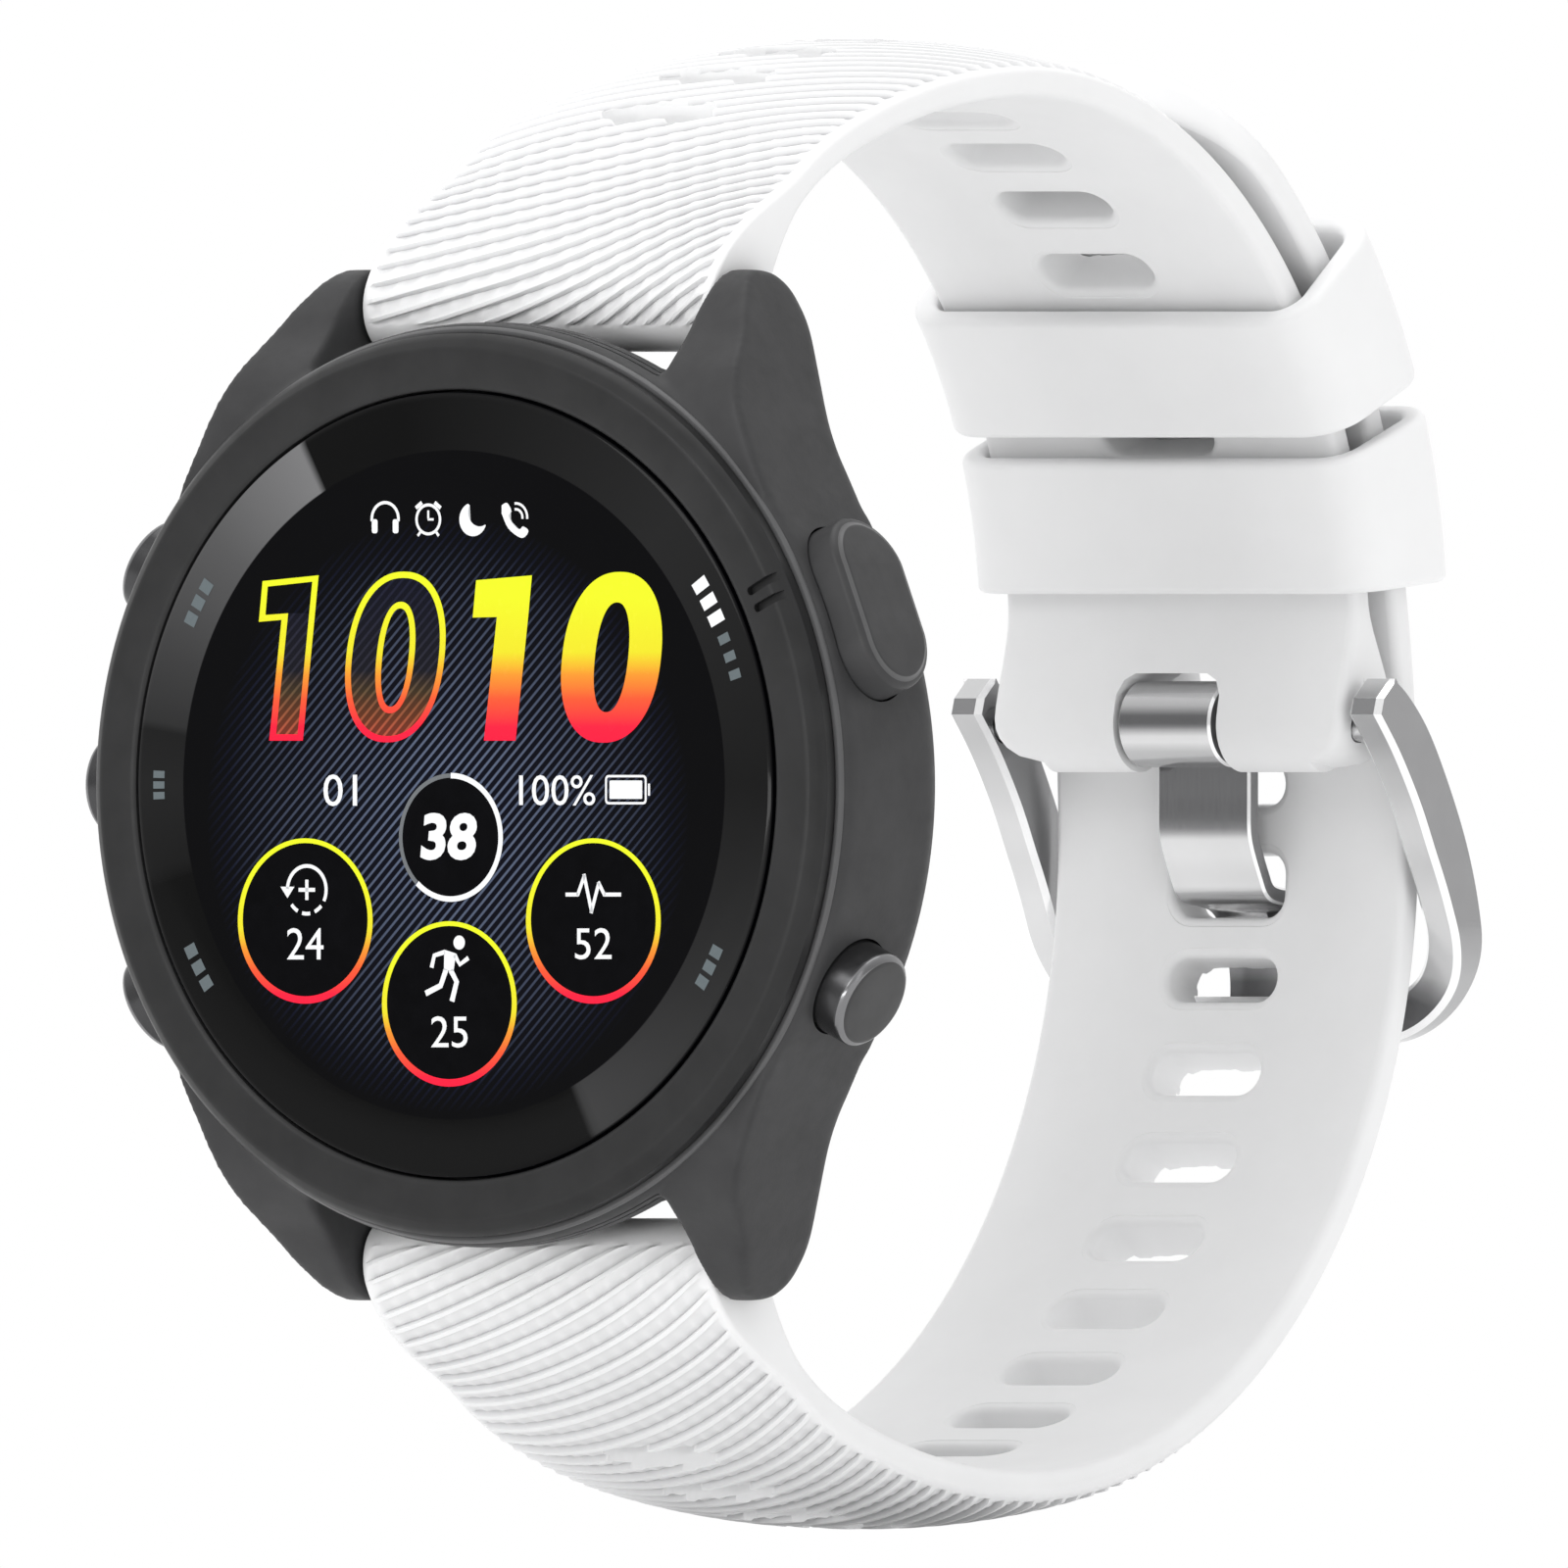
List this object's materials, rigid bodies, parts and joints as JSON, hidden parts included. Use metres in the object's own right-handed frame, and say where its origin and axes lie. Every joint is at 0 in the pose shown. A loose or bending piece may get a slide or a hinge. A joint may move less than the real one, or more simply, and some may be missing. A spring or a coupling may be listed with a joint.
{
  "type": "gps running watch",
  "caption": "Round sports watch with a glass face, edge buttons and four lugs, on a buckled two-piece silicone strap with slots, loops and a pin buckle.",
  "frame": {"origin": "centre of the flat sensor window on the back of the case, the face that lies on the wrist", "axes": "+Z towards twelve o'clock, -Y out of the watch glass, +X towards the start button; +Y into the wrist space"},
  "size_m": [0.0504, 0.0722, 0.0757],
  "materials": {
    "case_polymer": "fine matt reinforced polymer",
    "bezel_polymer": "satin reinforced polymer",
    "glass": "black-edged toughened glass",
    "display": "dark colour display",
    "steel": "polished and finely brushed",
    "fastener_steel": "plain",
    "silicone": "matt white silicone, ribbed outside",
    "seal_rubber": "matt",
    "board": "solder mask",
    "cell": "foil pouch",
    "brass": "plain",
    "ceramic": "fired ceramic",
    "button_metal": "dark anodised",
    "switch_plastic": "moulded"
  },
  "bodies": {
    "watch": {"back_cover": "case_polymer", "back_gasket": "seal_rubber", "back_screw_1": "fastener_steel", "back_screw_2": "fastener_steel", "back_screw_3": "fastener_steel", "back_screw_4": "fastener_steel", "back_seal": "seal_rubber", "back_switch": "switch_plastic", "battery": "cell", "bezel": "bezel_polymer", "buckle_bar": "steel", "buzzer": "brass", "case_body": "case_polymer", "charge_port": "seal_rubber", "display_bracket": "steel", "display_panel": "display", "down_seal": "seal_rubber", "down_switch": "switch_plastic", "gps_antenna": "ceramic", "lens": "glass", "lens_gasket": "seal_rubber", "light_seal": "seal_rubber", "light_switch": "switch_plastic", "lower_bar_spring": "fastener_steel", "lower_bar_tube": "fastener_steel", "lower_fixed_pin": "fastener_steel", "main_board": "board", "sensor_board": "board", "sensor_window": "glass", "start_seal": "seal_rubber", "start_switch": "switch_plastic", "strap_lower": "silicone", "strap_upper": "silicone", "up_seal": "seal_rubber", "up_switch": "switch_plastic", "upper_bar_spring": "fastener_steel", "upper_bar_tube": "fastener_steel", "upper_fixed_pin": "fastener_steel", "vibration_motor": "steel"},
    "start_key": {"start_button": "bezel_polymer", "start_clip": "fastener_steel"},
    "back_key": {"back_button": "button_metal", "back_clip": "fastener_steel"},
    "light_key": {"light_button": "button_metal", "light_clip": "fastener_steel"},
    "up_key": {"up_button": "button_metal", "up_clip": "fastener_steel"},
    "down_key": {"down_button": "button_metal", "down_clip": "fastener_steel"},
    "frame": {"buckle_frame": "steel"},
    "tongue": {"buckle_tongue": "steel"},
    "keeper_hi": {"keeper_upper": "silicone"},
    "keeper_lo": {"keeper_lower": "silicone"},
    "upper_pin": {"upper_release_pin": "fastener_steel"},
    "lower_pin": {"lower_release_pin": "fastener_steel"}
  },
  "joints": [
    {"name": "start_press", "type": "slide", "parent": "watch", "child": "start_key", "axis": [-0.9317, 0, -0.3633], "range_m": [0, 0.0005], "stiffness_N_per_m": 4000},
    {"name": "back_press", "type": "slide", "parent": "watch", "child": "back_key", "axis": [-0.8988, 0, 0.4384], "range_m": [0, 0.0005], "stiffness_N_per_m": 4000},
    {"name": "light_press", "type": "slide", "parent": "watch", "child": "light_key", "axis": [0.8949, 0, -0.4462], "range_m": [0, 0.0005], "stiffness_N_per_m": 4000},
    {"name": "up_press", "type": "slide", "parent": "watch", "child": "up_key", "axis": [1, 0, 0], "range_m": [0, 0.0005], "stiffness_N_per_m": 4000},
    {"name": "down_press", "type": "slide", "parent": "watch", "child": "down_key", "axis": [0.8949, 0, 0.4462], "range_m": [0, 0.0005], "stiffness_N_per_m": 4000},
    {"name": "buckle_swing", "type": "hinge", "parent": "watch", "child": "frame", "pos_m": [0, 0.05085, 0.0031], "axis": [1, 0, 0], "range_deg": [0, 5]},
    {"name": "tongue_swing", "type": "hinge", "parent": "watch", "child": "tongue", "pos_m": [0, 0.05085, 0.0031], "axis": [1, 0, 0], "range_deg": [0, 5]},
    {"name": "upper_keeper_slide", "type": "hinge", "parent": "watch", "child": "keeper_hi", "pos_m": [0, 0.0224, 0.0074], "axis": [1, 0, 0], "range_deg": [0, 12]},
    {"name": "lower_keeper_slide", "type": "hinge", "parent": "watch", "child": "keeper_lo", "pos_m": [0, 0.0224, 0.0074], "axis": [1, 0, 0], "range_deg": [-1.5, 0]},
    {"name": "upper_release", "type": "slide", "parent": "watch", "child": "upper_pin", "axis": [-1, 0, 0], "range_m": [0, 0.0014], "stiffness_N_per_m": 900, "deforming": ["upper_bar_spring"]},
    {"name": "lower_release", "type": "slide", "parent": "watch", "child": "lower_pin", "axis": [-1, 0, 0], "range_m": [0, 0.0014], "stiffness_N_per_m": 900, "deforming": ["lower_bar_spring"]}
  ],
  "couplings": [
    {"joint": "tongue_swing", "follows": "buckle_swing", "ratio": 1}
  ]
}
